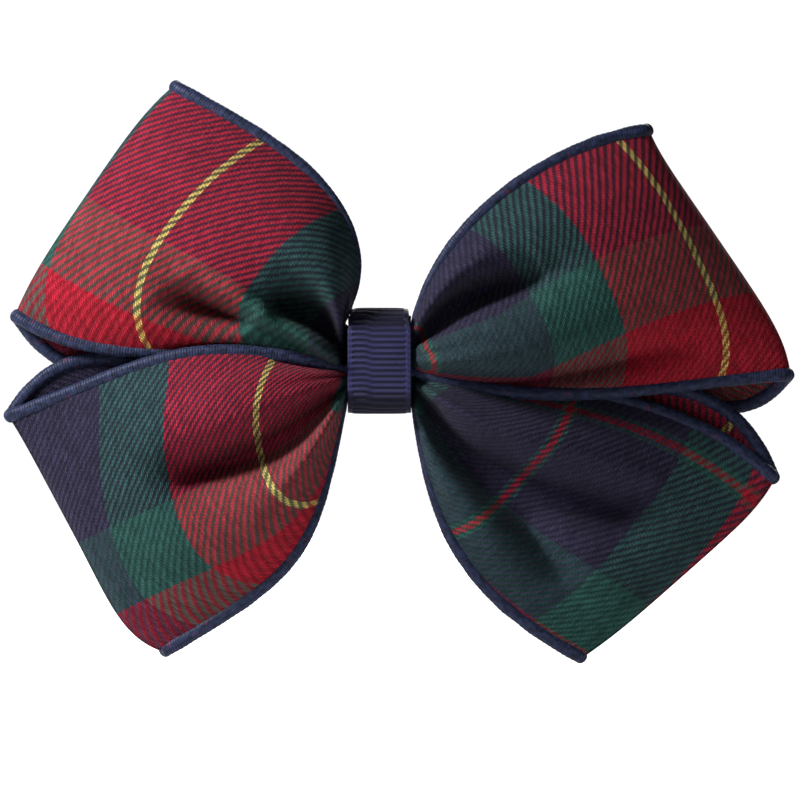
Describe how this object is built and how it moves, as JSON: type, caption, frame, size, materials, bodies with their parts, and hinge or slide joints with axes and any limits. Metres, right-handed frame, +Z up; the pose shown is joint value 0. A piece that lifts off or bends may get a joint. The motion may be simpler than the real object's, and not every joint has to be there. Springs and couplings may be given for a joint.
{
  "type": "hair bow",
  "caption": "Pinwheel hair bow of looped tartan twill strips with overlocked edges and a ribbon wrap, on a sprung alligator clip that opens to grip hair.",
  "frame": {"origin": "on the clip lining, in the middle of the face of the fixed arm that grips the hair, behind the knot", "axes": "+X along the clip and the bow's width, to the right as the face is looked at; +Z up as worn; +Y from the face towards the hair"},
  "size_m": [0.1189, 0.0243, 0.0876],
  "materials": {
    "tartan_twill": "2/2 twill tartan in crimson, bottle green and navy with a gold line",
    "edging_thread": "navy overlock thread, slight sheen",
    "grosgrain": "navy grosgrain ribbon, cross ribs",
    "cinch_thread": "waxed thread",
    "hot_melt": "cloudy hot-melt adhesive",
    "clip_steel": "nickel-plated stamped steel",
    "spring_steel": "drawn spring wire"
  },
  "bodies": {
    "bow": {"front_strip": "tartan_twill", "rear_strip": "tartan_twill", "front_strip_upper_edging": "edging_thread", "front_strip_lower_edging": "edging_thread", "rear_strip_upper_edging": "edging_thread", "rear_strip_lower_edging": "edging_thread", "centre_wrap": "grosgrain", "clip_lining": "grosgrain", "front_cinch_thread": "cinch_thread", "rear_cinch_thread": "cinch_thread", "glue_pad": "hot_melt", "clip_fixed_arm": "clip_steel", "clip_pin": "clip_steel", "clip_spring": "spring_steel"},
    "lever": {"clip_lever": "clip_steel"}
  },
  "joints": [
    {"name": "clip_hinge", "type": "hinge", "parent": "bow", "child": "lever", "pos_m": [0.009, 0.0015, 0], "axis": [0, 0, -1], "range_deg": [0, 30], "stiffness_Nm_per_rad": 0.02, "springref_deg": -17.19, "deforming": ["clip_spring"]}
  ]
}
